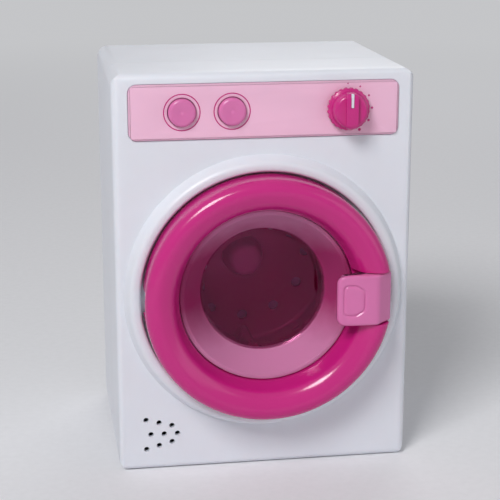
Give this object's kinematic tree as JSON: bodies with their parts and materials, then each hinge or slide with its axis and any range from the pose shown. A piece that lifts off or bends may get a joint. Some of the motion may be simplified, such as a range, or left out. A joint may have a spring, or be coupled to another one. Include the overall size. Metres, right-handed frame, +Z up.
{
  "type": "toy washing machine",
  "caption": "Toy front-loading washing machine: hinged porthole door with a sprung handle, geared battery-driven drum, dial, push buttons, speaker and a screwed battery cover at the back.",
  "frame": {"origin": "on the surface it stands on, under the middle of its overall width and depth", "axes": "+Z up, -Y towards the user at the door side, +X to the user's right"},
  "size_m": [0.11, 0.1032, 0.15],
  "materials": {
    "white_abs": "moulded, satin gloss",
    "magenta_abs": "moulded, gloss",
    "pink_abs": "moulded, gloss",
    "pale_pink_abs": "moulded, satin",
    "pink_clear_styrene": "clear tinted, polished",
    "grey_white_abs": "moulded, satin",
    "cream_acetal": "moulded, satin",
    "zinc_steel": "zinc plated",
    "spring_steel": "bright, nickel plated",
    "bronze": "sintered",
    "board_laminate": "solder mask",
    "black_resin": "moulded",
    "black_nylon": "moulded",
    "grey_silicone": "matt",
    "cone_paper": "matt",
    "cell_jacket": "printed sleeve, plain",
    "white_nylon": "moulded",
    "red_vinyl": "extruded",
    "black_vinyl": "extruded"
  },
  "bodies": {
    "cabinet": {"front_shell": "white_abs", "rear_shell": "white_abs", "case_screws": "zinc_steel", "control_fascia": "pale_pink_abs", "circuit_board": "board_laminate", "board_components": "black_resin", "board_screws": "zinc_steel", "rotary_switch": "black_nylon", "keypad": "grey_silicone", "speaker": "zinc_steel", "speaker_cone": "cone_paper", "tub": "grey_white_abs", "tub_screws": "zinc_steel", "shaft_bush": "bronze", "gearbox_base": "grey_white_abs", "gearbox_cover": "grey_white_abs", "gearbox_screws": "zinc_steel", "gear_pins": "zinc_steel", "motor_can": "zinc_steel", "motor_end_cap": "white_nylon", "door_catch": "spring_steel", "catch_screw": "zinc_steel", "battery_cells": "cell_jacket", "battery_springs": "spring_steel", "battery_plates": "spring_steel", "motor_leads": "red_vinyl", "speaker_leads": "black_vinyl", "battery_leads": "red_vinyl"},
    "door": {"door_ring": "magenta_abs", "door_window": "pink_clear_styrene", "door_back": "magenta_abs", "door_screws": "zinc_steel", "door_hinge_pin": "zinc_steel", "handle_pin": "zinc_steel", "handle_spring": "spring_steel"},
    "handle": {"door_handle": "pink_abs"},
    "drum": {"drum": "magenta_abs", "drum_cap": "pale_pink_abs", "drum_shaft": "zinc_steel", "drum_gear": "cream_acetal"},
    "near_idler": {"idler_near_drum": "cream_acetal"},
    "motor_idler": {"idler_near_motor": "cream_acetal"},
    "rotor": {"motor_shaft": "zinc_steel", "motor_pinion": "cream_acetal"},
    "dial": {"programme_dial": "magenta_abs"},
    "left_button": {"left_button": "pink_abs"},
    "right_button": {"right_button": "pink_abs"},
    "battery_lid": {"battery_cover": "white_abs", "cover_screws": "zinc_steel"}
  },
  "joints": [
    {"name": "door_hinge", "type": "hinge", "parent": "cabinet", "child": "door", "pos_m": [-0.0424, -0.0434, 0.068], "axis": [0, 0, -1], "range_deg": [0, 100], "deforming": ["door_catch"]},
    {"name": "handle_pull", "type": "hinge", "parent": "door", "child": "handle", "pos_m": [0.0375, -0.0439, 0.068], "axis": [0, 0, 1], "range_deg": [0, 10], "stiffness_Nm_per_rad": 0.15, "springref_deg": -5.73, "deforming": ["handle_spring"]},
    {"name": "drum_spin", "type": "hinge", "parent": "cabinet", "child": "drum", "pos_m": [0, 0.0356, 0.068], "axis": [0, 1, 0], "continuous": true},
    {"name": "near_idler_spin", "type": "hinge", "parent": "cabinet", "child": "near_idler", "pos_m": [0.00674, 0.0356, 0.09317], "axis": [0, 1, 0], "continuous": true},
    {"name": "motor_idler_spin", "type": "hinge", "parent": "cabinet", "child": "motor_idler", "pos_m": [0.02482, 0.0356, 0.10583], "axis": [0, 1, 0], "continuous": true},
    {"name": "rotor_spin", "type": "hinge", "parent": "cabinet", "child": "rotor", "pos_m": [0.03585, 0.0356, 0.12493], "axis": [0, 1, 0], "continuous": true},
    {"name": "dial_turn", "type": "hinge", "parent": "cabinet", "child": "dial", "pos_m": [0.03, -0.0344, 0.1359], "axis": [0, 1, 0], "range_deg": [0, 150]},
    {"name": "left_button_press", "type": "slide", "parent": "cabinet", "child": "left_button", "axis": [0, 1, 0], "range_m": [0, 0.0012], "stiffness_N_per_m": 800, "springref_m": -0.0005, "deforming": ["keypad"]},
    {"name": "right_button_press", "type": "slide", "parent": "cabinet", "child": "right_button", "axis": [0, 1, 0], "range_m": [0, 0.0012], "stiffness_N_per_m": 800, "springref_m": -0.0005, "deforming": ["keypad"]},
    {"name": "battery_lid_lift", "type": "slide", "parent": "cabinet", "child": "battery_lid", "axis": [0, 1, 0], "range_m": [0, 0.025]}
  ],
  "couplings": [
    {"joint": "near_idler_spin", "follows": "drum_spin", "ratio": -3.3333},
    {"joint": "motor_idler_spin", "follows": "drum_spin", "ratio": 8.8889},
    {"joint": "rotor_spin", "follows": "drum_spin", "ratio": -23.704}
  ]
}
